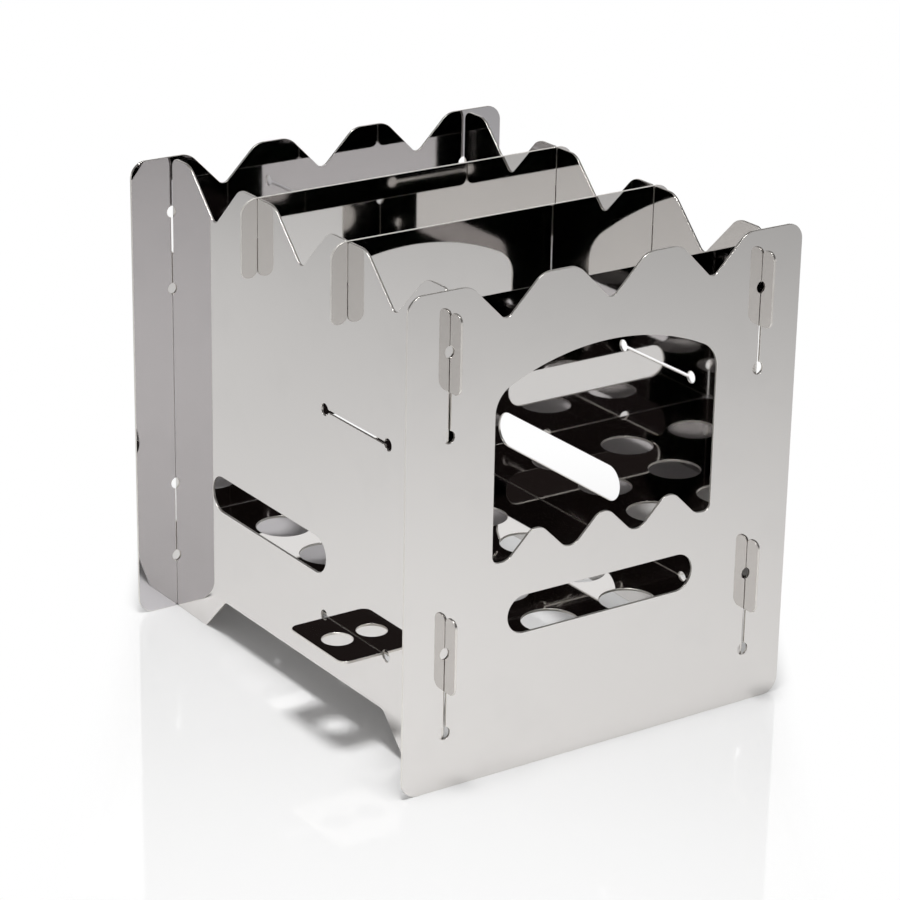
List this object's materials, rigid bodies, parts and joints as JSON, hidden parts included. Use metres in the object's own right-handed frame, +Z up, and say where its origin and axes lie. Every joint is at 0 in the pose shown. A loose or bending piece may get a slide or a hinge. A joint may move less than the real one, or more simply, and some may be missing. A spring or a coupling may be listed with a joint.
{
  "type": "twig stove",
  "caption": "Flat-pack box stove of hooked steel plates, with a feeding window, air slots, a perforated grate and strips across the top for a pot.",
  "frame": {"origin": "on the ground at the middle of the box", "axes": "+Z up, the feeding window faces -Y, +X to the right seen from the front"},
  "size_m": [0.183, 0.2194, 0.2],
  "materials": {
    "polished_sheet": "mirror polished stainless sheet"
  },
  "bodies": {
    "box": {"rear_plate": "polished_sheet", "left_wall": "polished_sheet", "right_wall": "polished_sheet", "grate": "polished_sheet"},
    "front_plate": {"front_plate": "polished_sheet"},
    "front_pot_support": {"front_pot_support": "polished_sheet"},
    "rear_pot_support": {"rear_pot_support": "polished_sheet"}
  },
  "joints": [
    {"name": "front_plate_lift", "type": "slide", "parent": "box", "child": "front_plate", "axis": [0, 0, 1], "range_m": [0, 0.0195]},
    {"name": "front_support_lift", "type": "slide", "parent": "box", "child": "front_pot_support", "axis": [0, 0, 1], "range_m": [0, 0.036]},
    {"name": "rear_support_lift", "type": "slide", "parent": "box", "child": "rear_pot_support", "axis": [0, 0, 1], "range_m": [0, 0.036]}
  ]
}
